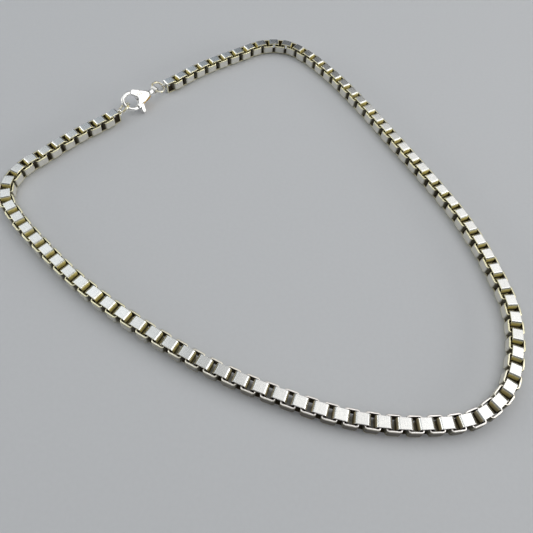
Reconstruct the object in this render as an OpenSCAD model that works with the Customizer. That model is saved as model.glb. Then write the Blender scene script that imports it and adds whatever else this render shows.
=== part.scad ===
/* [Chain links] */
// Outer length of one link, along the chain
link_length = 4.1; // [3.8:0.1:4.6]
// Outer width and height of one link, across the chain
link_width = 4.5; // [4.3:0.1:5.5]
// Width of the flat strip that each link is bent from
strip_width = 2.9; // [2.4:0.1:3]
// Thickness of that strip
strip_thickness = 0.5; // [0.4:0.05:0.55]
// Outer radius of a link's bent corners
corner_radius = 0.75; // [0.6:0.05:1]
// Play between two neighbouring links when the chain lies straight
link_play = 0.46; // [0.42:0.02:0.7]

/* [Jump rings] */
// Outside diameter of each jump ring
ring_diameter = 5.4; // [5.2:0.1:5.8]
// Diameter of the jump rings' wire
ring_wire = 0.8; // [0.6:0.05:0.85]
// Wire of the small loop soldered to each end link
loop_wire = 0.55; // [0.4:0.05:0.6]
// Height of these loops above the middle of the link
loop_lift = 0.5; // [0.2:0.1:0.6]
// Gap between a jump ring and what it hangs in
ring_gap = 0.19; // [0.18:0.01:0.22]

/* [Clasp body] */
// Inside diameter of the clasp's hook
hook_bore = 4.6; // [4.4:0.1:5]
// Thickness of the hook's round bar
hook_bar = 1.45; // [1.2:0.05:1.55]
// Distance from the middle of the hook to the middle of the tail eye
tail_reach = 10; // [9.7:0.1:10.5]
// Distance of the tail eye from the body's middle line
eye_offset = 0.6; // [0.2:0.1:0.8]
// Distance from the middle of the hook to the neck of the body
neck_reach = 7.6; // [7.2:0.1:7.8]
// Width of the body at its shoulders
body_width = 5.2; // [5:0.1:5.6]
// Thickness of the body through both cheeks
body_thickness = 3; // [2.9:0.1:3.4]
// Diameter of the neck between body and tail eye
neck_diameter = 2; // [1.7:0.1:2.2]
// Outside diameter of the tail eye
eye_diameter = 2.8; // [2.7:0.1:3]
// Length of the tail eye along its bore
eye_length = 1.7; // [1.4:0.1:1.8]
// Bore of the tail eye
eye_bore = 1.7; // [1.6:0.05:1.8]

/* [Lever] */
// Thickness of the lever plate
lever_thickness = 1.35; // [1.2:0.05:1.5]
// Gap on each side of the lever in its slot
slot_gap = 0.1; // [0.08:0.01:0.15]
// Gap between the closed gate and the nose of the hook
nose_gap = 0.15; // [0.12:0.01:0.25]
// Angle around the hook at which the gate meets the nose
seam_angle = 70; // [66:1:76]
// Thickness of the gate arm
gate_width = 1.6; // [1.4:0.1:1.7]
// Distance of the thumb tab's tip below the clasp's middle line
tab_reach = 5.4; // [5.1:0.1:5.6]
// Width of the thumb tab
tab_width = 1.3; // [1.1:0.1:1.4]
// Diameter of the rivet pin that the lever turns on
pin_diameter = 0.9; // [0.7:0.05:1]
// Radial running gap between the pin and the lever's bore
pin_gap = 0.05; // [0.03:0.01:0.08]
// How far the lever turns when it is pressed open
lever_travel = 25; // [20:1:28]

/* [Lie on the surface] */
// Turn of the clasp in plan, from the X axis
clasp_turn = 46; // [43:1:49]
// Tilt of the clasp about its own length
clasp_tilt = 36; // [34:1:40]
// Drop of the clasp towards its tail
clasp_dip = 5; // [3:1:7]
// Height of the thumb tab above the surface, at its lowest when the lever is open
surface_gap = 0.1; // [0.1:0.05:0.3]

/* [Hidden] */
$fn = 48;

silver = [0.80, 0.80, 0.79];
polished = [0.90, 0.90, 0.90];
warm_silver = [0.78, 0.74, 0.66];

// Middle line of the chain on the surface, between its two end links
route_points = [
    [-63, 12.5], [-70.5, 3], [-75.5, -4], [-77, -10], [-75.5, -16], [-70.5, -22],
    [-58.5, -32.5], [-42, -44.5], [-25, -54], [-6.5, -62.5], [12.5, -68.5], [32, -72.5],
    [48, -72.5], [63, -69], [71.5, -61.5], [76, -50], [77, -38], [74, -25],
    [67, -7], [57, 10], [46, 27], [35, 43.5], [23, 59], [14, 68],
    [7.5, 72], [1, 72.5], [-5, 70.5], [-11, 66], [-26.5, 53.5]
];
// Place of the hook's middle on the surface
hook_place = [-47.3, 30.7];
// Place around the hook's bar where the left ring hangs
hang_angle = 196;
// Directions from the left end link to its ring and on to the hook
left_end_turn = 52;
left_ring_turn = 49;
// Directions from the right ring's middle to the right end link, and of that link
right_ring_turn = 38;
right_end_turn = 43;
// Roll of each ring about its own reach
left_ring_roll = -28;
right_ring_roll = 12;
// How far round the right ring the tail eye sits from the point opposite the end link
right_ring_bend = 28;
// Turns of the tail eye's bore out of the clasp's plane and within it
eye_turn = 21;
eye_swing = 19;
// Steps along the route between two of its points
route_steps = 14;
chain_middle = link_width / 2;

// Sizes and places within the clasp, in its own axes
hook_radius = (hook_bore + hook_bar) / 2;
slot_width = lever_thickness + 2 * slot_gap;
pin_place = [3.7, 0.9];
hub_wall = 0.75;
hub_radius = pin_diameter / 2 + hub_wall;
slot_room = 0.5;
slot_end = pin_place[0] + hub_radius + slot_room;
seam_place = hook_radius * [cos(seam_angle), sin(seam_angle)];
seam_radius = norm(pin_place - seam_place);
tab_end = [2.35, tab_width / 2 - tab_reach];
tab_gap = 0.15;
rivet_gap = 0.02;
shoulder_start = 3.1;
shoulder_end = 4.2;
root_top = -0.7;
root_swell = 0.1;
neck_taper = 0.3;
eye_place = [tail_reach, eye_offset, 0];
// Angles around the hook: where the bar starts within the cut at the nose, where it meets its root, and
// between which the root runs
bar_start = 60;
bar_end = 300;
root_start = 288;
root_end = 340;

// A vector given in the clasp's own axes, turned the way the clasp lies
function turned_x(v, a) = [v[0], v[1] * cos(a) - v[2] * sin(a), v[1] * sin(a) + v[2] * cos(a)];
function turned_y(v, a) = [v[0] * cos(a) + v[2] * sin(a), v[1], v[2] * cos(a) - v[0] * sin(a)];
function turned_z(v, a) = [v[0] * cos(a) - v[1] * sin(a), v[0] * sin(a) + v[1] * cos(a), v[2]];
function turned(v, roll, pitch, turn) = turned_z(turned_y(turned_x(v, roll), pitch), turn);
function plan(v) = [v[0], v[1]];
function heading(a) = [cos(a), sin(a)];

// Edge of the hook's root along the thumb tab, at a given height
function tab_line(y) =
    let (run = tab_end - pin_place)
    pin_place[0] + (y - pin_place[1]) * run[0] / run[1] + (tab_width / 2 + tab_gap) * norm(run) / run[1];

// The thumb tab's end when the lever is swung, and how far it then reaches down
function swung_end(a) =
    pin_place + plan(turned_z([tab_end[0] - pin_place[0], tab_end[1] - pin_place[1], 0], a));
function tab_drop(a) =
    tab_width / 2 * sin(clasp_tilt)
    - turned([swung_end(a)[0], swung_end(a)[1], -lever_thickness / 2], clasp_tilt, clasp_dip, 0)[2];
clasp_height = surface_gap + max(tab_drop(0), tab_drop(lever_travel));
function on_clasp(v) = [hook_place[0], hook_place[1], clasp_height]
    + turned(v, clasp_tilt, clasp_dip, clasp_turn);

// Rings and the loops soldered to the end links
ring_radius = (ring_diameter - ring_wire) / 2;
wire_standoff = ring_wire / 2 + ring_gap;
loop_radius = wire_standoff + loop_wire / 2;
loop_height = chain_middle + loop_lift;
end_reach = wire_standoff + link_length / 2;

// Left ring, from the hook's bar down to the loop of the left end link
hook_seat = on_clasp(hook_radius * [cos(hang_angle), sin(hang_angle), 0]);
left_inset = ring_radius - ring_wire / 2 - hook_bar / 2 - ring_gap;
left_rise = asin((hook_seat[2] - loop_height) / (left_inset + ring_radius));
left_reach = turned([1, 0, 0], 0, -left_rise, left_ring_turn);
left_centre = hook_seat - left_inset * left_reach;
left_seat = left_centre - ring_radius * left_reach;
left_end = plan(left_seat) - end_reach * heading(left_end_turn);

// Right ring, from the tail eye to the loop of the right end link
eye_seat = on_clasp(eye_place);
right_along = 1 + cos(right_ring_bend);
right_across = sin(right_ring_bend) * sin(right_ring_roll);
right_rise = asin((loop_height - eye_seat[2]) / (ring_radius * norm([right_along, right_across])))
    - atan2(right_across, right_along);
function right_reach(a) =
    ring_radius * turned([cos(a), sin(a), 0], right_ring_roll, -right_rise, right_ring_turn);
right_centre = eye_seat + right_reach(right_ring_bend);
right_seat = right_centre + right_reach(0);
right_end = plan(right_seat) + end_reach * heading(right_end_turn);

// Smooth curve through the route's points
route = concat([left_end], route_points, [right_end]);
last = len(route) - 1;
function span(i) = norm(route[i + 1] - route[i]);
function slope(i) = (route[i + 1] - route[i]) / span(i);
function tangent(i) =
    i == 0 ? -heading(left_end_turn)
    : i == last ? -heading(right_end_turn)
    : (slope(i - 1) * span(i) + slope(i) * span(i - 1)) / (span(i) + span(i - 1));
function between(i, t) = (2 * t ^ 3 - 3 * t ^ 2 + 1) * route[i]
    + (t ^ 3 - 2 * t ^ 2 + t) * span(i) * tangent(i)
    + (3 * t ^ 2 - 2 * t ^ 3) * route[i + 1]
    + (t ^ 3 - t ^ 2) * span(i) * tangent(i + 1);
curve = concat([for (i = [0:last - 1], k = [0:route_steps - 1]) between(i, k / route_steps)], [route[last]]);
strides = [for (i = [1:len(curve) - 1]) norm(curve[i] - curve[i - 1])];
distance = [for (i = 0, s = 0; i <= len(strides); s = s + (i < len(strides) ? strides[i] : 0), i = i + 1) s];
table_x = [for (i = [0:len(curve) - 1]) [distance[i], curve[i][0]]];
table_y = [for (i = [0:len(curve) - 1]) [distance[i], curve[i][1]]];
chain_length = distance[len(curve) - 1];

// An even number of steps, so that both end links stand upright
link_steps = 2 * round(chain_length / (link_length - 2 * strip_thickness - link_play) / 2);
link_pitch = chain_length / link_steps;
function along(s) = [lookup(s, table_x), lookup(s, table_y)];
function link_turn(i) =
    let (run = along(min(chain_length, (i + 0.5) * link_pitch)) - along(max(0, (i - 0.5) * link_pitch)))
    atan2(run[1], run[0]);

// Rectangle with round corners, centred
module rounded_rectangle(length, width, radius) {
    square([length - 2 * radius, width], center = true);
    square([length, width - 2 * radius], center = true);
    for (x = [-1, 1], y = [-1, 1])
        translate([x * (length / 2 - radius), y * (width / 2 - radius)])
            circle(r = radius);
}

// One link, a strip bent round and soldered, lying flat
module link() {
    linear_extrude(strip_width, center = true)
        difference() {
            rounded_rectangle(link_length, link_width, corner_radius);
            rounded_rectangle(link_length - 2 * strip_thickness, link_width - 2 * strip_thickness,
                corner_radius - strip_thickness);
        }
}

// Loop soldered to the outer end of an end link, a half ring on two short legs
module end_loop(roll) {
    leg = wire_standoff + strip_thickness / 2;
    translate([link_length / 2, 0, loop_lift])
        rotate([90 + roll, 0, 0]) {
            translate([wire_standoff, 0, 0])
                rotate([0, 0, -90])
                    rotate_extrude(angle = 180)
                        translate([loop_radius, 0])
                            circle(d = loop_wire);
            for (side = [-1, 1])
                translate([-strip_thickness / 2, side * loop_radius, 0])
                    rotate([0, 90, 0])
                        cylinder(d = loop_wire, h = leg);
        }
}

module placed_link(i) {
    place = along(i * link_pitch);
    translate([place[0], place[1], chain_middle])
        rotate([0, 0, link_turn(i)])
            rotate([i % 2 == 0 ? 90 : 0, 0, 0])
                link();
}

// A link at an end of the chain, with its loop on the outer side
module end_link(i, outward, roll) {
    place = along(i * link_pitch);
    placed_link(i);
    translate([place[0], place[1], chain_middle])
        rotate([0, 0, link_turn(i) + outward])
            end_loop(roll);
}

module box_chain() {
    color(silver) {
        for (i = [1:link_steps - 1])
            placed_link(i);
        end_link(0, 180, left_ring_roll);
        end_link(link_steps, 0, -right_ring_roll);
    }
}

// A jump ring in its own plane, turned to reach along X
module jump_ring(centre, turn, rise, roll) {
    color(warm_silver)
        translate(centre)
            rotate([roll, -rise, turn])
                rotate_extrude()
                    translate([ring_radius, 0])
                        circle(d = ring_wire);
}

module ring_left() {
    jump_ring(left_centre, left_ring_turn, left_rise, left_ring_roll);
}

module ring_right() {
    jump_ring(right_centre, right_ring_turn, right_rise, right_ring_roll);
}

// Everything of the clasp is drawn lying flat and then laid the way it rests
module laid_clasp() {
    translate([hook_place[0], hook_place[1], clasp_height])
        rotate([clasp_tilt, clasp_dip, clasp_turn])
            children();
}

// Ring-shaped stretch of the hook, with the section given as its child
module around_hook(from, to) {
    rotate([0, 0, from])
        rotate_extrude(angle = to - from)
            translate([hook_radius, 0])
                children();
}

// The hook's round bar, cut back at the nose where the gate swings past
module hook() {
    difference() {
        around_hook(bar_start, bar_end)
            circle(d = hook_bar);
        intersection() {
            translate(pin_place)
                cylinder(r = seam_radius + nose_gap, h = 2 * hook_bar, center = true);
            translate([-hook_bore, 0, -hook_bar])
                cube([3 * hook_bore, 2 * hook_bore, 2 * hook_bar]);
        }
    }
}

// Thick end of the hook, which carries both cheeks
module hook_root() {
    around_hook(root_start, root_end)
        intersection() {
            circle(d = body_thickness);
            square([hook_bar + 2 * root_swell, body_thickness], center = true);
        }
}

// Tapered body, round in section and flat on both cheeks, cut back in front for the gate
module cheeks() {
    difference() {
        intersection() {
            rotate([0, 90, 0])
                rotate_extrude()
                    polygon([
                        [0, hook_bore / 2 - hook_bar],
                        [body_width / 2 - neck_taper, hook_bore / 2 - hook_bar],
                        [body_width / 2, shoulder_start],
                        [body_width / 2, shoulder_end],
                        [neck_diameter / 2 + neck_taper, neck_reach - neck_taper],
                        [neck_diameter / 2, neck_reach],
                        [0, neck_reach]
                    ]);
            cube([3 * tail_reach, 2 * body_width, body_thickness], center = true);
        }
        cylinder(d = hook_bore, h = 2 * body_thickness, center = true);
        linear_extrude(2 * body_thickness, center = true)
            polygon([
                [0, 0],
                [hook_bore / 2, pin_place[1]],
                [pin_place[0] + neck_taper, body_width / 2 - neck_taper],
                [pin_place[0] + 2 * neck_taper, body_width],
                [0, body_width]
            ]);
    }
}

// Slot that the lever turns in, open in front above the hook's root
module slot() {
    linear_extrude(slot_width, center = true)
        polygon([
            [-hook_bore, root_top],
            [tab_line(root_top), root_top],
            [tab_line(-body_width), -body_width],
            [slot_end, -body_width],
            [slot_end, body_width],
            [-hook_bore, body_width]
        ]);
}

// Places its child along the bore of the tail eye
module at_eye() {
    translate(eye_place)
        rotate([0, 0, eye_swing])
            rotate([90 - eye_turn, 0, 0])
                children();
}

// Neck of the body with the eye that the right ring passes through
module tail() {
    neck_start = neck_reach - neck_diameter;
    neck_run = tail_reach - neck_start;
    translate([neck_start, 0, 0])
        rotate([0, 90, atan2(eye_offset, neck_run)])
            cylinder(d = neck_diameter, h = norm([neck_run, eye_offset]) - eye_bore / 2);
    at_eye()
        cylinder(d = eye_diameter, h = eye_length, center = true);
}

module clasp_body() {
    color(polished)
        laid_clasp() {
            difference() {
                union() {
                    cheeks();
                    hook_root();
                    tail();
                }
                slot();
                translate(pin_place)
                    cylinder(d = pin_diameter + 2 * rivet_gap, h = 2 * body_thickness, center = true);
                at_eye()
                    cylinder(d = eye_bore, h = 3 * eye_length, center = true);
            }
            hook();
        }
}

// Straight bar from one place to another, round at its far end
module bar(from, to, width) {
    run = to - from;
    translate(from)
        rotate(atan2(run[1], run[0]))
            translate([0, -width / 2])
                square([norm(run), width]);
    translate(to)
        circle(d = width);
}

// Gate arm that closes the hook, from the seam at the nose to the hub
module gate() {
    top = hook_bore / 2 + gate_width;
    intersection() {
        difference() {
            polygon([
                [0, hook_bore / 2 - gate_width],
                [0, top],
                [hook_bar, top],
                [pin_place[0] + hub_radius / 2, body_width / 2],
                [pin_place[0] + hub_radius / 2, 0],
                [hook_bore / 2, 0]
            ]);
            circle(d = hook_bore);
        }
        translate(pin_place)
            circle(r = seam_radius);
    }
}

module clasp_lever() {
    color(polished)
        laid_clasp()
            difference() {
                union() {
                    linear_extrude(lever_thickness, center = true)
                        gate();
                    translate(pin_place)
                        cylinder(r = hub_radius, h = lever_thickness, center = true);
                    linear_extrude(lever_thickness, center = true)
                        bar(pin_place, tab_end, tab_width);
                }
                translate(pin_place)
                    cylinder(d = pin_diameter + 2 * pin_gap, h = 2 * lever_thickness, center = true);
            }
}

module lever_pin() {
    color(warm_silver)
        laid_clasp()
            translate(pin_place)
                cylinder(d = pin_diameter, h = body_thickness, center = true);
}

box_chain();
ring_left();
ring_right();
clasp_body();
clasp_lever();
lever_pin();
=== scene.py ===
import math
import random

import bmesh
import bpy
import numpy as np
from mathutils import Euler, Matrix, Vector


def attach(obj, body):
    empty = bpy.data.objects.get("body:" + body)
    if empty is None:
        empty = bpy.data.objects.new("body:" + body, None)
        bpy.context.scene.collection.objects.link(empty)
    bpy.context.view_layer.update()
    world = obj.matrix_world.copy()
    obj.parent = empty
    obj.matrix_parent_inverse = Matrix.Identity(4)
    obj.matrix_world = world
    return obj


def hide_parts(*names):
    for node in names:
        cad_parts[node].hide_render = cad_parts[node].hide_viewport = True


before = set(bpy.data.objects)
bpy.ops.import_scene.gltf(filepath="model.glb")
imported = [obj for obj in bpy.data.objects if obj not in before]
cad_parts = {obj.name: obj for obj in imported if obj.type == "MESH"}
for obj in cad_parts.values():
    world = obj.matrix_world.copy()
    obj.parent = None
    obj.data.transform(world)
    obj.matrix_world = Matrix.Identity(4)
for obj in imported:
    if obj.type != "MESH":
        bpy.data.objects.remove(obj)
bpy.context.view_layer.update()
MM = 0.001

# Camera
# A hand-held view from in front and above, at about 52 degrees to the surface and turned a little
# to the side. The whole necklace fills the frame, which is cut from the lower part of the picture.
camera_place = Vector((6.35, -115.87, 144.04)) * MM
camera_pitch = math.radians(52.3)
camera_roll = math.radians(-5.4)
picture_side = 533
sensor_width = 36
focal_share = 559.2 / picture_side
lens_shift = (-6.3 / picture_side, -66.5 / picture_side)
ahead = Vector((0, math.cos(camera_pitch), -math.sin(camera_pitch)))
level = Vector((1, 0, 0))
below = Vector((0, -math.sin(camera_pitch), -math.cos(camera_pitch)))
rightward = math.cos(camera_roll) * level + math.sin(camera_roll) * below
downward = -math.sin(camera_roll) * level + math.cos(camera_roll) * below
camera_data = bpy.data.cameras.new("camera")
camera_data.sensor_width = sensor_width
camera_data.lens = sensor_width * focal_share
camera_data.shift_x, camera_data.shift_y = lens_shift
camera_data.clip_start = 5 * MM
camera = bpy.data.objects.new("camera", camera_data)
camera_turn = Matrix((rightward, -downward, -ahead)).transposed().to_4x4()
camera.matrix_world = Matrix.Translation(camera_place) @ camera_turn
bpy.context.scene.collection.objects.link(camera)
bpy.context.scene.camera = camera

# Box chain
# Sterling silver strip, cut, bent square and soldered into links that stand and lie in turn, each
# through the next. The outside was tumbled to a satin; where links shade each other it has tarnished.
link_length = 4.1 * MM
link_width = 4.5 * MM
strip_width = 2.9 * MM
strip_thickness = 0.5 * MM
corner_radius = 0.75 * MM
worn_edge = 0.07 * MM
flats_share = 95
left_end = (-52.4694, 23.7504)
right_end = (-36.0992, 43.4581)
left_end_turn = 52
right_end_turn = 43
route_points = [
    (-63, 12.5), (-70.5, 3), (-75.5, -4), (-77, -10), (-75.5, -16), (-70.5, -22),
    (-58.5, -32.5), (-42, -44.5), (-25, -54), (-6.5, -62.5), (12.5, -68.5), (32, -72.5),
    (48, -72.5), (63, -69), (71.5, -61.5), (76, -50), (77, -38), (74, -25),
    (67, -7), (57, 10), (46, 27), (35, 43.5), (23, 59), (14, 68),
    (7.5, 72), (1, 72.5), (-5, 70.5), (-11, 66), (-26.5, 53.5),
]
route_steps = 14
link_steps = 162


def pick(kind, wanted):
    """In edit mode, selects exactly the faces or edges that the test wants."""
    bpy.ops.mesh.select_all(action="DESELECT")
    bpy.ops.mesh.select_mode(type=kind)
    mesh = bmesh.from_edit_mesh(bpy.context.object.data)
    for part in mesh.faces if kind == "FACE" else mesh.edges:
        part.select_set(wanted(part))
    mesh.select_flush_mode()
    bmesh.update_edit_mesh(bpy.context.object.data)


def heading(degrees):
    """The level direction at that angle from +X."""
    return Vector((math.cos(math.radians(degrees)), math.sin(math.radians(degrees))))


def across_strip(edge):
    """Whether this edge of the plain block runs across the strip, where it gets bent."""
    run = edge.verts[1].co - edge.verts[0].co
    return abs(run.z) > 0.9 * run.length


def on_rim(face):
    """Whether this face is one of the strip's two narrow sides."""
    return abs(face.normal.z) > 0.9


def along_rim(edge):
    """Whether this edge parts a narrow side from a broad one."""
    return len(edge.link_faces) == 2 and on_rim(edge.link_faces[0]) != on_rim(edge.link_faces[1])


bpy.ops.object.select_all(action="DESELECT")
bpy.ops.mesh.primitive_cube_add(size=1)
link = bpy.context.object
link.scale = (link_length, link_width, strip_width)
bpy.ops.object.transform_apply(scale=True)
bpy.ops.object.mode_set(mode="EDIT")
pick("EDGE", across_strip)
bpy.ops.mesh.bevel(offset=corner_radius, segments=2, affect="EDGES")
pick("FACE", on_rim)
bpy.ops.mesh.inset(thickness=strip_thickness)
bpy.ops.mesh.bridge_edge_loops()
pick("EDGE", along_rim)
bpy.ops.mesh.bevel(offset=worn_edge, segments=1, affect="EDGES")
bpy.ops.mesh.select_all(action="SELECT")
bpy.ops.mesh.normals_make_consistent(inside=False)
bpy.ops.object.mode_set(mode="OBJECT")
bpy.ops.object.shade_smooth()
# The broad faces set the shading, so that the flats stay flat, with no tolerance, because a link is
# only millimetres large
bpy.ops.object.modifier_add(type="WEIGHTED_NORMAL")
link.modifiers[0].weight = flats_share
link.modifiers[0].thresh = 0
bpy.ops.object.modifier_apply(modifier=link.modifiers[0].name)


def keep_places(piece, places):
    """Stores, at each point, where it lies on its own link, in millimetres."""
    stored = piece.data.attributes.new("link_place", "FLOAT_VECTOR", "POINT")
    stored.data.foreach_set("vector", np.asarray(places, np.float32).ravel())


keep_places(link, [point.co / MM for point in link.data.vertices])

# The half ring on the outer side of an end link, a bent wire with both ends soldered to the strip
loop_wire = 0.55 * MM
loop_radius = 0.865 * MM
loop_standoff = 0.59 * MM
loop_lift = 0.5 * MM
loop_leg = loop_standoff + strip_thickness / 2
loop_sides = 12
left_ring_roll = -28
right_ring_roll = 12


def soldered_loop(roll):
    """A half ring on two legs, in the axes of its end link, reaching along +X."""
    bpy.ops.object.select_all(action="DESELECT")
    bpy.ops.mesh.primitive_circle_add(
        vertices=loop_sides, radius=loop_wire / 2, location=(-strip_thickness / 2, -loop_radius, 0),
        rotation=(0, math.radians(90), 0))
    loop = bpy.context.object
    bpy.ops.object.transform_apply(location=True, rotation=True)
    bpy.ops.object.mode_set(mode="EDIT")
    bpy.ops.mesh.select_all(action="SELECT")
    bpy.ops.mesh.extrude_region_move(TRANSFORM_OT_translate={"value": (loop_leg, 0, 0)})
    bpy.ops.mesh.spin(
        steps=loop_sides, angle=math.radians(180), center=(loop_standoff, 0, 0), axis=(0, 0, -1))
    bpy.ops.mesh.extrude_region_move(TRANSFORM_OT_translate={"value": (-loop_leg, 0, 0)})
    bpy.ops.mesh.select_all(action="SELECT")
    bpy.ops.mesh.fill_holes(sides=0)
    bpy.ops.mesh.normals_make_consistent(inside=False)
    bpy.ops.object.mode_set(mode="OBJECT")
    bpy.ops.object.shade_smooth()
    keep_places(loop, [(link_length / MM / 2, 0, 0)] * len(loop.data.vertices))
    loop.data.transform(
        Matrix.Translation((link_length / 2, 0, loop_lift))
        @ Matrix.Rotation(math.radians(90 + roll), 4, "X"))
    return loop


# The chain's middle line, a smooth curve through the route's points, in millimetres
route = [Vector(p) for p in [left_end] + route_points + [right_end]]
spans = [(b - a).length for a, b in zip(route, route[1:])]
slopes = [(b - a) / s for a, b, s in zip(route, route[1:], spans)]
tangents = [-heading(left_end_turn)]
for before, after, reach_before, reach_after in zip(slopes, slopes[1:], spans, spans[1:]):
    tangents.append((before * reach_after + after * reach_before) / (reach_before + reach_after))
tangents.append(-heading(right_end_turn))
curve = []
for i, span in enumerate(spans):
    for k in range(route_steps):
        t = k / route_steps
        curve.append(
            (2 * t**3 - 3 * t**2 + 1) * route[i] + (t**3 - 2 * t**2 + t) * span * tangents[i]
            + (3 * t**2 - 2 * t**3) * route[i + 1] + (t**3 - t**2) * span * tangents[i + 1])
curve.append(route[-1])
distance = np.concatenate([[0], np.cumsum([(b - a).length for a, b in zip(curve, curve[1:])])])
link_pitch = distance[-1] / link_steps


def along(s):
    """The place on the middle line at that distance from the left end, in millimetres."""
    return np.array([np.interp(s, distance, [p[axis] for p in curve]) for axis in (0, 1)])


# Each link keeps its place in the CAD model, turned by a hair so that no two catch the light alike.
# An upright link stands on the surface and has less play, in degrees, than one that hangs.
chance = random.Random(4)
link_sway = 0.9
upright_lean, upright_dip = 0.5, 0.2
lying_lean, lying_dip = 2, 1.5
# The near stretch of the chain gets painted shade on its outer sides and on the tarnish of its ends, and
# a painted highlight on its rims, more and more from the first of these places to the other
near_shading_starts = -50 * MM
near_shading_full = -69 * MM
outer_end = {0: -1, link_steps: 1}
chain_parts = []
for i in range(link_steps + 1):
    spot = along(i * link_pitch) * MM
    run = along(min(distance[-1], (i + 0.5) * link_pitch)) - along(max(0, (i - 0.5) * link_pitch))
    turn = math.atan2(run[1], run[0])
    upright = i % 2 == 0
    slack = 0 if i in outer_end else 1
    most_lean, most_dip = (upright_lean, upright_dip) if upright else (lying_lean, lying_dip)
    sway = math.radians(chance.uniform(-link_sway, link_sway)) * slack
    lean = math.radians(chance.uniform(-most_lean, most_lean)) * slack
    dip = math.radians(chance.uniform(-most_dip, most_dip)) * slack
    link_tone = chance.random()
    # How much painted shade and painted highlight this link gets, by its place on the near stretch
    link_near_shading = min(1, max(0, (near_shading_starts - spot[1]) / (near_shading_starts - near_shading_full)))
    stand = Matrix.Translation((spot[0], spot[1], link_width / 2)) @ Matrix.Rotation(turn, 4, "Z")
    place = stand @ Euler((lean, dip, sway)).to_matrix().to_4x4()
    if upright:
        place = place @ Matrix.Rotation(math.radians(90), 4, "X")
    parts = [(link, place)]
    if i == 0:
        parts.append((soldered_loop(left_ring_roll), stand @ Matrix.Rotation(math.radians(180), 4, "Z")))
    if i == link_steps:
        parts.append((soldered_loop(-right_ring_roll), stand))
    for model, where in parts:
        points = model.data.vertices
        free = [float(model is not link or outer_end.get(i, 0) * p.co.x > corner_radius) for p in points]
        copy = model.copy()
        copy.data = model.data.copy()
        copy.data.transform(where)
        numbers = {
            "link_tone": [link_tone] * len(points), "link_lies": [float(not upright)] * len(points),
            "link_near_shading": [link_near_shading] * len(points), "link_outer_end": free,
        }
        for name, values in numbers.items():
            copy.data.attributes.new(name, "FLOAT", "POINT").data.foreach_set("value", values)
        bpy.context.scene.collection.objects.link(copy)
        chain_parts.append(copy)
        if model is not link:
            bpy.data.objects.remove(model)
bpy.data.objects.remove(link)
bpy.ops.object.select_all(action="DESELECT")
for part in chain_parts:
    part.select_set(True)
chain = chain_parts[0]
bpy.context.view_layer.objects.active = chain
bpy.ops.object.join()
chain.name = "square_links"


def colour(code):
    """A linear colour from its sRGB hex value."""
    parts = [int(code[i:i + 2], 16) / 255 for i in (1, 3, 5)]
    return tuple(c / 12.92 if c <= 0.04045 else ((c + 0.055) / 1.055) ** 2.4 for c in parts) + (1.0,)


def add(tree, kind, settings=None, inputs=None):
    """Adds a shader node with its settings; each input is a value, or the socket that feeds it."""
    made = tree.nodes.new("ShaderNode" + kind)
    for name, value in (settings or {}).items():
        setattr(made, name, value)
    for name, value in (inputs or {}).items():
        if isinstance(value, bpy.types.NodeSocket):
            tree.links.new(value, made.inputs[name])
        else:
            made.inputs[name].default_value = value
    return made


def new_material(name):
    """A material of that name with its tree and shader."""
    made = bpy.data.materials.new(name)
    made.use_nodes = True
    return made, made.node_tree, made.node_tree.nodes["Principled BSDF"]


# Rolled sterling silver strip, tumbled and then worn: bright satin flats with fine crossing
# scratches and polished rims. Tarnish is golden on the ends of the links; the brown inside them is
# partly tarnish, partly painted shade. A film of dust dims the standing sides; on the near stretch the
# outer ones get painted shade, the rims a painted highlight and the ends' tarnish painted shade.
chain_silver, tree, shader = new_material("rolled_sterling_silver")
own_place = add(tree, "Attribute", {"attribute_name": "link_place"}).outputs["Vector"]
tone = add(tree, "Attribute", {"attribute_name": "link_tone"}).outputs["Fac"]
lies = add(tree, "Attribute", {"attribute_name": "link_lies"}).outputs["Fac"]
near_shading = add(tree, "Attribute", {"attribute_name": "link_near_shading"}).outputs["Fac"]
free_end = add(tree, "Attribute", {"attribute_name": "link_outer_end"}).outputs["Fac"]
apart = add(tree, "SeparateXYZ", inputs={0: own_place})
lengthwise = add(tree, "Math", {"operation": "ABSOLUTE"}, {0: apart.outputs["X"]}).outputs[0]
outward = add(tree, "Math", {"operation": "ABSOLUTE"}, {0: apart.outputs["Y"]}).outputs[0]
edgeward = add(tree, "Math", {"operation": "ABSOLUTE"}, {0: apart.outputs["Z"]}).outputs[0]
# Where each zone of a link starts and is reached in full, in millimetres from the link's middle:
# along the chain, outward through its two flats, or edgeward through its two rims. The tarnish on
# the ends turns deeper gold where lowered, and where deep it turns brown, partly tarnish and partly
# painted shade; within and inside bound the inner faces, middle is what lies between a side's borders,
# and outer faces out of the loop.
zones = {}
for name, way, starts, full in (
        ("flat", outward, 1.85, 2.1),
        ("lowered", outward, 2.0, 1.6),
        ("within", outward, 1.85, 1.75),
        ("deep", outward, 0.9, 0.2),
        ("inside", lengthwise, 1.68, 1.6),
        ("rim", edgeward, 1.36, 1.42),
        ("middle", edgeward, 1.4, 1.15),
        ("outer", apart.outputs["Y"], 0.0, -1.0)):
    zones[name] = add(tree, "MapRange", inputs={0: way, 1: starts, 2: full}).outputs[0]
inner = add(tree, "Math", {"operation": "MULTIPLY"}, {0: zones["within"], 1: zones["inside"]}).outputs[0]
rubbed = add(tree, "Math", {"operation": "MAXIMUM"}, {0: zones["flat"], 1: zones["rim"]}).outputs[0]
bare = add(tree, "Math", {"operation": "MAXIMUM"}, {0: rubbed, 1: free_end}).outputs[0]
shaded = add(tree, "Math", {"operation": "SUBTRACT"}, {0: 1.0, 1: bare}).outputs[0]
side = add(tree, "Math", {"operation": "MULTIPLY"}, {0: zones["flat"], 1: lies}).outputs[0]
dusty = add(tree, "Math", {"operation": "MULTIPLY"}, {0: side, 1: zones["middle"]}).outputs[0]
# The outer sides on the near stretch, which get painted shade
shaded_near_outsides = add(tree, "Math", {"operation": "MULTIPLY"}, {0: near_shading, 1: zones["outer"]}).outputs[0]
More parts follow.
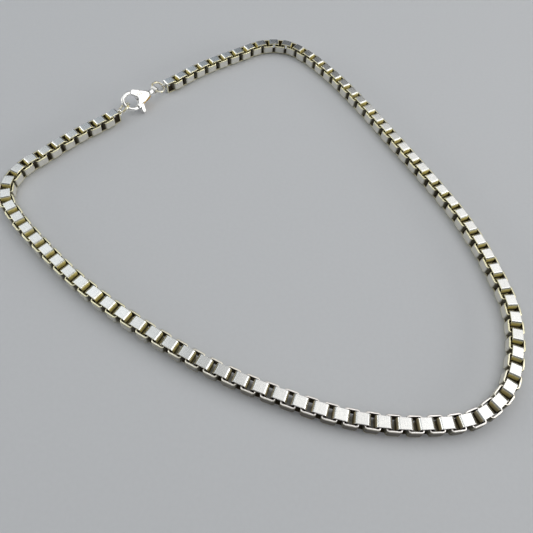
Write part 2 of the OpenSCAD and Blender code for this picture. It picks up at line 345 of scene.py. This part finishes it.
# Blotches of tarnish about 2 mm across, in another place on each link
shift = add(tree, "CombineXYZ", inputs={0: tone, 1: tone, 2: tone}).outputs[0]
far_shift = add(tree, "VectorMath", {"operation": "SCALE"}, {0: shift, 3: 60.0}).outputs[0]
own = add(tree, "VectorMath", {"operation": "ADD"}, {0: own_place, 1: far_shift}).outputs[0]
blotch = add(tree, "TexNoise", inputs={"Vector": own, "Scale": 0.55, "Detail": 3.0}).outputs[0]
patchy = add(tree, "MapRange", inputs={0: blotch, 1: 0.3, 2: 0.6, 3: 0.7, 4: 1.0}).outputs[0]
stain = add(tree, "Math", {"operation": "MULTIPLY"}, {0: shaded, 1: patchy}).outputs[0]
# The deep middles of the ends and the inner faces turn dark brown: partly tarnish, partly painted shade
sunk = add(tree, "Math", {"operation": "MULTIPLY"}, {0: shaded, 1: zones["deep"]}).outputs[0]
tarnish_and_painted_shade_inside = add(tree, "Math", {"operation": "MAXIMUM"}, {0: sunk, 1: inner}).outputs[0]
fouled = add(tree, "Math", {"operation": "MAXIMUM"}, {0: stain, 1: inner}).outputs[0]
# Scratches are some 0.03 mm wide; they are drawn 0.2 mm wide, so that they show
long_way = add(
    tree, "Mapping",
    inputs={"Vector": own, "Scale": (0.8, 1.0, 4.5), "Rotation": (0, 0.35, 0)}).outputs[0]
cross_way = add(
    tree, "Mapping",
    inputs={"Vector": own, "Scale": (4.5, 1.0, 0.9), "Rotation": (0, 0.5, 0)}).outputs[0]
scratch = add(tree, "TexNoise", inputs={"Vector": long_way, "Scale": 1.1, "Detail": 4.0}).outputs[0]
crossed = add(tree, "TexNoise", inputs={"Vector": cross_way, "Scale": 1.0, "Detail": 4.0}).outputs[0]
scuff = add(tree, "Math", {"operation": "MULTIPLY"}, {0: scratch, 1: crossed}).outputs[0]
grain = add(tree, "MapRange", inputs={0: scuff, 1: 0.1, 2: 0.42}).outputs[0]
clean = add(
    tree, "Mix", {"data_type": "RGBA"},
    {0: grain, "A": colour("#dfe0df"), "B": colour("#eeeeeb")}).outputs["Result"]
toned = add(tree, "MapRange", inputs={0: tone, 3: 0.9, 4: 1.05}).outputs[0]
varied = add(tree, "HueSaturation", inputs={"Value": toned, "Color": clean}).outputs[0]
# Dust on the standing sides, darkened with painted shade on the outer sides of the near stretch
dust_and_painted_shade = add(
    tree, "Mix", {"data_type": "RGBA"},
    {0: shaded_near_outsides, "A": colour("#e0ded6"), "B": colour("#77716a")}).outputs["Result"]
# The rims' own tint, whitened with a painted highlight on the near stretch
rim_with_painted_highlight = add(
    tree, "Mix", {"data_type": "RGBA"},
    {0: near_shading, "A": colour("#f7f1ce"), "B": colour("#fcf8f4")}).outputs["Result"]
golden = add(
    tree, "Mix", {"data_type": "RGBA"},
    {0: zones["lowered"], "A": colour("#faf2b6"), "B": colour("#f8e992")}).outputs["Result"]
# The golden tarnish of the ends, dulled and darkened with painted shade on the near stretch
golden_with_painted_shade = add(
    tree, "Mix", {"data_type": "RGBA"},
    {0: near_shading, "A": golden, "B": colour("#bfb184")}).outputs["Result"]
tarnish = add(
    tree, "Mix", {"data_type": "RGBA"},
    {0: lies, "A": golden_with_painted_shade, "B": colour("#6f6850")}).outputs["Result"]
# Each cover lies over the ones before it: the warm borders of the standing sides, the dust within
# them with painted shade on the near stretch's outer sides, the rims with a painted highlight on the
# near stretch, the tarnish on the ends, and the brown inside, partly tarnish and partly painted shade
covered = varied
for cover, top in (
        (side, colour("#f3edb8")), (dusty, dust_and_painted_shade), (zones["rim"], rim_with_painted_highlight), (stain, tarnish),
        (tarnish_and_painted_shade_inside, colour("#42361d"))):
    covered = add(
        tree, "Mix", {"data_type": "RGBA"}, {0: cover, "A": covered, "B": top}).outputs["Result"]
tree.links.new(covered, shader.inputs["Base Color"])
film = add(tree, "Math", {"operation": "MULTIPLY"}, {0: dusty, 1: 0.5}).outputs[0]
filmed = add(tree, "Math", {"operation": "MAXIMUM"}, {0: fouled, 1: film}).outputs[0]
bright = add(tree, "MapRange", inputs={0: filmed, 3: 1.0, 4: 0.12}).outputs[0]
tree.links.new(bright, shader.inputs["Metallic"])
rough = add(tree, "MapRange", inputs={0: grain, 3: 0.27, 4: 0.23}).outputs[0]
for cover, own_roughness in ((dusty, 0.5), (zones["rim"], 0.3), (fouled, 0.65)):
    rough = add(tree, "Mix", {"data_type": "FLOAT"}, {0: cover, 2: rough, 3: own_roughness}).outputs[0]
tree.links.new(rough, shader.inputs["Roughness"])
fine = add(tree, "TexNoise", inputs={"Vector": own, "Scale": 6.0, "Detail": 2.0}).outputs[0]
relief = add(tree, "Math", {"operation": "MULTIPLY_ADD"}, {0: scratch, 1: 2.0, 2: fine}).outputs[0]
ground = add(tree, "MapRange", inputs={0: zones["rim"], 3: 0.02, 4: 0.0}).outputs[0]
bump = add(
    tree, "Bump", inputs={"Strength": ground, "Distance": 0.03 * MM, "Height": relief}).outputs[0]
tree.links.new(bump, shader.inputs["Normal"])
chain.data.materials.clear()
chain.data.materials.append(chain_silver)
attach(chain, "necklace")
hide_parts("box_chain")

# Jump rings
# Round silver wire, wound on a rod, sawn into rings and closed again. One hangs in the clasp's
# hook and one in its tail eye, and each holds the loop of an end link.
ring_wire = 0.8 * MM
ring_radius = 2.3 * MM
saw_cut = 0.05 * MM
cut_edge = 0.04 * MM
wire_sides = 20
wire_steps = 72
# Each ring's middle in millimetres, and in degrees its turns and where round it the saw cut lies
ring_places = {
    "ring_left": ((-49.4526, 27.4314, 3.63967), (left_ring_roll, -22.7564, 49), 115),
    "ring_right": ((-39.7714, 40.2972, 3.3878), (right_ring_roll, 16.0995, 38), 250),
}

ring_silver, tree, shader = new_material("drawn_silver_wire")
shader.inputs["Metallic"].default_value = 1.0
# Drawn wire, tumbled: smooth and a little warm with age, with dull patches half a millimetre long
place = add(tree, "TexCoord").outputs["Object"]
patch = add(tree, "TexNoise", inputs={"Vector": place, "Scale": 1400.0, "Detail": 4.0}).outputs[0]
aged = add(tree, "MapRange", inputs={0: patch, 1: 0.42, 2: 0.7}).outputs[0]
mixed = add(
    tree, "Mix", {"data_type": "RGBA"},
    {0: aged, "A": colour("#fffdf4"), "B": colour("#efdf98")}).outputs["Result"]
tree.links.new(mixed, shader.inputs["Base Color"])
rough = add(tree, "MapRange", inputs={0: aged, 3: 0.3, 4: 0.45}).outputs[0]
tree.links.new(rough, shader.inputs["Roughness"])
scar = add(tree, "TexNoise", inputs={"Vector": place, "Scale": 6000.0, "Detail": 3.0}).outputs[0]
bump = add(tree, "Bump", inputs={"Strength": 0.25, "Distance": 0.02 * MM, "Height": scar}).outputs[0]
tree.links.new(bump, shader.inputs["Normal"])

for node_name, (centre, turns, seam_turn) in ring_places.items():
    bpy.ops.object.select_all(action="DESELECT")
    bpy.ops.mesh.primitive_circle_add(
        vertices=wire_sides, radius=ring_wire / 2, location=(ring_radius, 0, 0),
        rotation=(math.radians(90), 0, 0))
    ring = bpy.context.object
    bpy.ops.object.transform_apply(location=True, rotation=True)
    bpy.ops.object.mode_set(mode="EDIT")
    bpy.ops.mesh.select_all(action="SELECT")
    bpy.ops.mesh.spin(
        steps=wire_steps, angle=2 * math.pi - saw_cut / ring_radius, center=(0, 0, 0), axis=(0, 0, 1))
    bpy.ops.mesh.select_all(action="SELECT")
    bpy.ops.mesh.fill_holes(sides=0)
    pick("FACE", lambda face: len(face.verts) > 4)
    bpy.ops.mesh.bevel(offset=cut_edge, segments=2, affect="EDGES")
    bpy.ops.mesh.select_all(action="SELECT")
    bpy.ops.mesh.normals_make_consistent(inside=False)
    bpy.ops.object.mode_set(mode="OBJECT")
    bpy.ops.object.shade_smooth_by_angle(angle=math.radians(35))
    ring.data.transform(
        Matrix.Translation(Vector(centre) * MM)
        @ Euler([math.radians(a) for a in turns]).to_matrix().to_4x4()
        @ Matrix.Rotation(math.radians(seam_turn), 4, "Z"))
    ring.name = "jump_" + node_name
    ring.data.materials.append(ring_silver)
    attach(ring, "necklace")
    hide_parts(node_name)

# Clasp body
# Lobster clasp cast in one piece of sterling silver and polished: the hook, two cheeks with a slot
# for the lever between them, a neck and the eye for the ring behind.
clasp_lie = Matrix.Translation(Vector((-47.3, 30.7, 4.25548)) * MM) @ Euler(
    (math.radians(36), math.radians(5), math.radians(46))).to_matrix().to_4x4()
clasp_grain = 0.07 * MM


def polished_copy(node_name, name, rounds):
    """A copy of a CAD node with its edges rounded by polishing, in the clasp's own axes."""
    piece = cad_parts[node_name].copy()
    piece.data = piece.data.copy()
    piece.parent = None
    for key in list(piece.keys()):
        del piece[key]
    bpy.context.scene.collection.objects.link(piece)
    piece.name = name
    piece.data.transform(clasp_lie.inverted())
    bpy.ops.object.select_all(action="DESELECT")
    piece.select_set(True)
    bpy.context.view_layer.objects.active = piece
    bpy.ops.object.mode_set(mode="EDIT")
    bpy.ops.mesh.select_all(action="SELECT")
    bpy.ops.mesh.remove_doubles(threshold=0.001 * MM)
    bpy.ops.object.mode_set(mode="OBJECT")
    remesh = piece.modifiers.new("even_skin", "REMESH")
    remesh.mode = "VOXEL"
    remesh.voxel_size = clasp_grain
    smooth = piece.modifiers.new("polish", "SMOOTH")
    smooth.factor = 0.5
    smooth.iterations = rounds
    for modifier in ("even_skin", "polish"):
        bpy.ops.object.modifier_apply(modifier=modifier)
    bpy.ops.object.shade_smooth()
    return piece


clasp = polished_copy("clasp_body", "cast_clasp_body", 5)


# Cast sterling silver, machine polished and then worn: hairline scratches spread each light over
# the curved faces, so that they show almost white.
def polished_silver(name):
    """The polished material, with the place in the clasp's own axes and the base colour's socket."""
    made, tree, shader = new_material(name)
    shader.inputs["Metallic"].default_value = 1.0
    place = add(tree, "TexCoord").outputs["Object"]
    turned = add(
        tree, "Mapping", {"vector_type": "TEXTURE"},
        {
            "Vector": place, "Location": clasp_lie.to_translation(),
            "Rotation": clasp_lie.to_euler()}).outputs[0]
    cloud = add(tree, "TexNoise", inputs={"Vector": place, "Scale": 500.0, "Detail": 4.0}).outputs[0]
    worn = add(tree, "MapRange", inputs={0: cloud, 1: 0.35, 2: 0.7}).outputs[0]
    base = add(
        tree, "Mix", {"data_type": "RGBA"},
        {0: worn, "A": colour("#fbfaf8"), "B": colour("#efeeea")}).outputs["Result"]
    tree.links.new(base, shader.inputs["Base Color"])
    hairline_way = add(
        tree, "Mapping", inputs={
            "Vector": turned, "Scale": (700.0, 4500.0, 4500.0), "Rotation": (0, 0, 0.4)}).outputs[0]
    hairline = add(
        tree, "TexNoise", inputs={"Vector": hairline_way, "Scale": 1.0, "Detail": 4.0}).outputs[0]
    rough = add(tree, "MapRange", inputs={0: hairline, 1: 0.3, 2: 0.7, 3: 0.3, 4: 0.4}).outputs[0]
    tree.links.new(rough, shader.inputs["Roughness"])
    bump = add(
        tree, "Bump", inputs={"Strength": 0.15, "Distance": 0.02 * MM, "Height": hairline}).outputs[0]
    tree.links.new(bump, shader.inputs["Normal"])
    return made, tree, shader, turned, base


# The body is yellowed where the polishing wheel doesn't reach, between the cheeks; along the lower
# edge from the thumb tab to the neck the yellow is a painted gold reflection.
clasp_silver, tree, shader, turned, base = polished_silver("polished_cast_silver")
apart = add(tree, "SeparateXYZ", inputs={0: turned})
depth = add(tree, "Math", {"operation": "ABSOLUTE"}, {0: apart.outputs["Z"]}).outputs[0]
within = add(tree, "MapRange", inputs={0: depth, 1: 0.95 * MM, 2: 0.7 * MM}).outputs[0]
behind = add(tree, "MapRange", inputs={0: apart.outputs["X"], 1: 2.6 * MM, 2: 3.2 * MM}).outputs[0]
before = add(tree, "MapRange", inputs={0: apart.outputs["X"], 1: 7.6 * MM, 2: 6.8 * MM}).outputs[0]
shoulder_end = 4.2 * MM
body_taper = 0.42
beyond = add(
    tree, "Math", {"operation": "MULTIPLY_ADD"},
    {0: apart.outputs["X"], 1: body_taper, 2: -body_taper * shoulder_end}).outputs[0]
lowness = add(tree, "Math", {"operation": "SUBTRACT"}, {0: beyond, 1: apart.outputs["Y"]}).outputs[0]
# The lower edge, from the thumb tab to the neck, which gets a painted gold reflection
lower = add(tree, "MapRange", inputs={0: lowness, 1: 1.9 * MM, 2: 2.15 * MM}).outputs[0]
slot_tarnish_and_edge_reflection = add(tree, "Math", {"operation": "MAXIMUM"}, {0: lower, 1: within}).outputs[0]
ranged = add(tree, "Math", {"operation": "MULTIPLY"}, {0: behind, 1: before}).outputs[0]
yellow = add(tree, "Math", {"operation": "MULTIPLY"}, {0: ranged, 1: slot_tarnish_and_edge_reflection}).outputs[0]
mixed = add(
    tree, "Mix", {"data_type": "RGBA"},
    {0: yellow, "A": base, "B": colour("#e8b850")}).outputs["Result"]
tree.links.new(mixed, shader.inputs["Base Color"])
clasp.data.transform(clasp_lie)
clasp.data.materials.clear()
clasp.data.materials.append(clasp_silver)
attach(clasp, "necklace")
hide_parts("clasp_body")

# Lever
# Cast with a hub, a gate arm that closes the hook and a thumb tab below, polished like the body. A
# spring hidden in the slot presses the gate shut.
lever = polished_copy("clasp_lever", "sprung_lever", 4)
lever.data.transform(clasp_lie)
lever.data.materials.clear()
lever.data.materials.append(polished_silver("polished_lever_silver")[0])
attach(lever, "lever")
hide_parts("clasp_lever")

# Rivet
# Silver wire driven through the cheeks and the lever's hub, with both heads ground flush and
# polished over, so that only a faint ring shows.
rivet_radius = 0.45 * MM
cheek_spread = 3.0 * MM
rivet_spot = Vector((3.7, 0.9, 0)) * MM
rivet_edge = 0.06 * MM
bpy.ops.object.select_all(action="DESELECT")
bpy.ops.mesh.primitive_cylinder_add(
    vertices=32, radius=rivet_radius, depth=cheek_spread, location=rivet_spot)
rivet = bpy.context.object
bpy.ops.object.transform_apply(location=True)
bpy.ops.object.mode_set(mode="EDIT")
pick("FACE", lambda face: len(face.verts) > 4)
bpy.ops.mesh.bevel(offset=rivet_edge, segments=3, affect="EDGES")
bpy.ops.object.mode_set(mode="OBJECT")
bpy.ops.object.shade_smooth_by_angle(angle=math.radians(40))
rivet.data.transform(clasp_lie)
rivet.name = "lever_rivet"
rivet.data.materials.append(ring_silver)
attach(rivet, "necklace")
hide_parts("lever_pin")

# Floor
# A plain pale round card, matt enough to give no image of the necklace, and round so that no
# corner of it shows behind the necklace from a low angle.
floor_radius = 1.0
bpy.ops.object.select_all(action="DESELECT")
bpy.ops.mesh.primitive_circle_add(vertices=96, radius=floor_radius, fill_type="NGON")
floor = bpy.context.object
floor.name = "floor"
floor_paper, tree, shader = new_material("pale_matt_card")
place = add(tree, "TexCoord").outputs["Object"]
fibre = add(tree, "TexNoise", inputs={"Vector": place, "Scale": 900.0, "Detail": 4.0}).outputs[0]
pale = add(
    tree, "Mix", {"data_type": "RGBA"},
    {0: fibre, "A": colour("#ced0d3"), "B": colour("#d3d5d8")}).outputs["Result"]
tree.links.new(pale, shader.inputs["Base Color"])
shader.inputs["Roughness"].default_value = 0.6
floor.data.materials.append(floor_paper)

# Light
# Soft panels overhead light the tops and end before the far side, so that the far links reflect
# the dark beyond them. Low ones at the left and right reach the standing sides but not those that
# face the viewer, and a small one whitens the clasp.


def soft_panel(name, place, aim, width, depth, watts, tint):
    """A rectangular lamp that faces the given point."""
    data = bpy.data.lights.new(name, "AREA")
    data.shape = "RECTANGLE"
    data.size = width
    data.size_y = depth
    data.energy = watts
    data.color = tint
    lamp = bpy.data.objects.new(name, data)
    lamp.location = place
    lamp.rotation_euler = (Vector(aim) - Vector(place)).to_track_quat("-Z", "Y").to_euler()
    bpy.context.scene.collection.objects.link(lamp)


# Each panel's place and aim, its width and depth, all in metres, then its watts and its tint
soft_panel("right_panel", (0.45, 0.285, 0.6), (0.45, 0.285, 0), 0.94, 0.79, 2.55, (1.0, 0.99, 0.97))
soft_panel("left_panel", (-0.52, 0.2, 0.6), (-0.52, 0.2, 0), 0.86, 0.6, 1.7, (0.96, 0.99, 1.0))
soft_panel("near_panel", (0, -0.3, 0.6), (0, -0.3, 0), 1.6, 0.6, 1.0, (1.0, 0.99, 0.97))
soft_panel("far_left_panel", (-0.26, 0.72, 0.6), (-0.26, 0.72, 0), 0.42, 0.4, 0.25, (0.8, 0.9, 1.0))
soft_panel("clasp_panel", (0.42, 0.02, 0.58), (0, 0, 0), 0.3, 0.3, 0.35, (1.0, 1.0, 1.0))
soft_panel("right_side_panel", (1.6, -0.22, 0.38), (0, 0, 0), 0.94, 0.47, 8.2, (1.0, 0.99, 0.96))
soft_panel("left_side_panel", (-1.6, 0, 0.38), (0, 0, 0), 0.94, 0.47, 6.1, (1.0, 0.99, 0.96))
# The air is dim, and lighter towards the horizon, which the standing sides reflect
world = bpy.data.worlds.new("studio")
world.use_nodes = True
tree = world.node_tree
air = tree.nodes["Background"]
sight = add(tree, "TexCoord").outputs["Generated"]
height = add(tree, "SeparateXYZ", inputs={0: sight}).outputs["Z"]
haze = add(tree, "MapRange", inputs={0: height, 1: 0.02, 2: 0.3, 3: 0.5, 4: 0.12}).outputs[0]
tree.links.new(haze, air.inputs["Strength"])
air.inputs["Color"].default_value = colour("#a4abb5")
bpy.context.scene.world = world
bpy.context.scene.view_settings.view_transform = "Standard"
